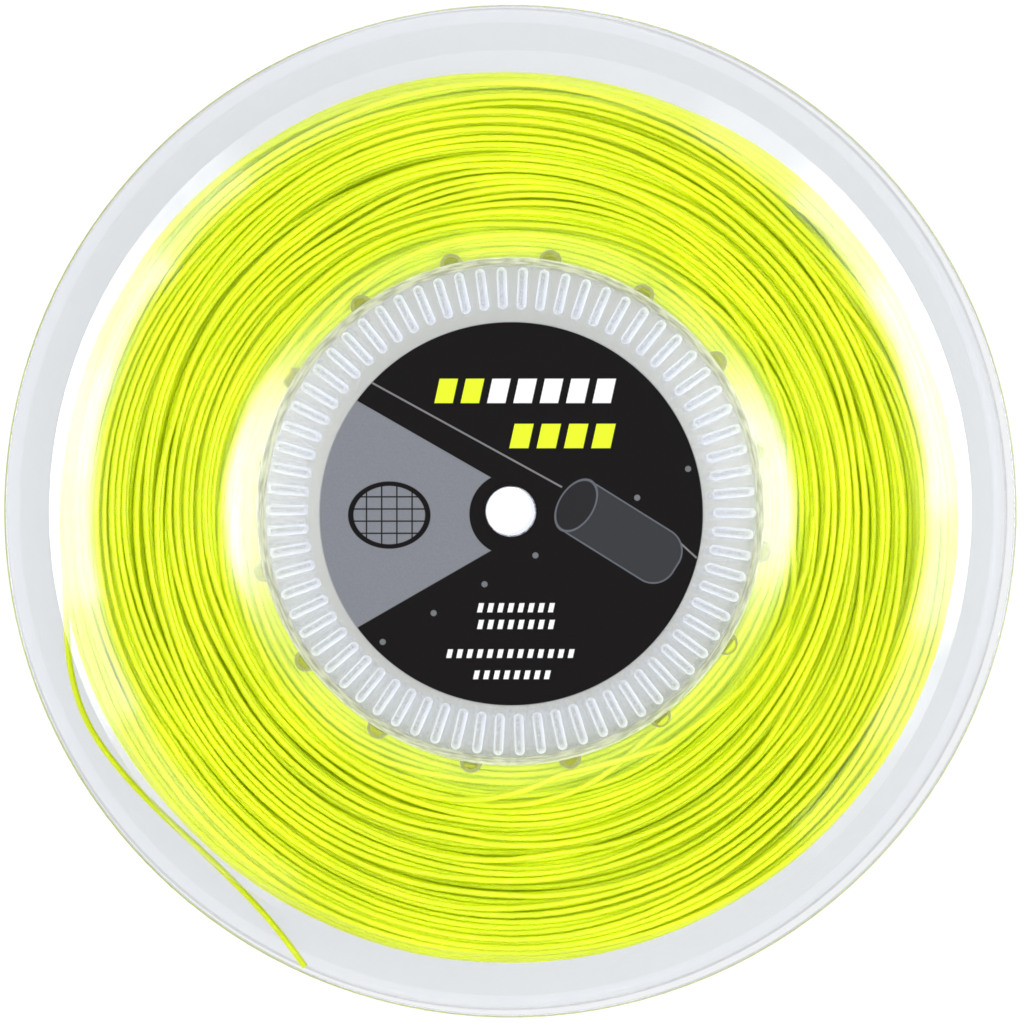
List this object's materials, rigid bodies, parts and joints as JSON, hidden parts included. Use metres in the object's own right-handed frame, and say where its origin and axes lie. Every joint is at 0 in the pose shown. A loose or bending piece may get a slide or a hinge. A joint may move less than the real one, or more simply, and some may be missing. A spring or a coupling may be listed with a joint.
{
  "type": "racket string reel",
  "caption": "Clear plastic reel, made of two halves with a ribbed hub and a spindle bore, wound with fluorescent yellow racket string.",
  "frame": {"origin": "where the axis of the spindle bore meets the surface that the reel lies on", "axes": "+Z along the spindle bore, out of the labelled face; +Y towards the top of the label"},
  "size_m": [0.2, 0.2, 0.034],
  "materials": {
    "rear_half": "clear injection-moulded polystyrene, slightly hazy",
    "front_half": "clear injection-moulded polystyrene, slightly hazy",
    "front_label": "printed film label, satin",
    "string_winding": "fluorescent polyester monofilament, glossy",
    "string_tail": "fluorescent polyester monofilament, glossy"
  },
  "bodies": {
    "root": {"rear_half": "rear_half", "front_half": "front_half", "front_label": "front_label", "string_winding": "string_winding", "string_tail": "string_tail"}
  },
  "joints": []
}
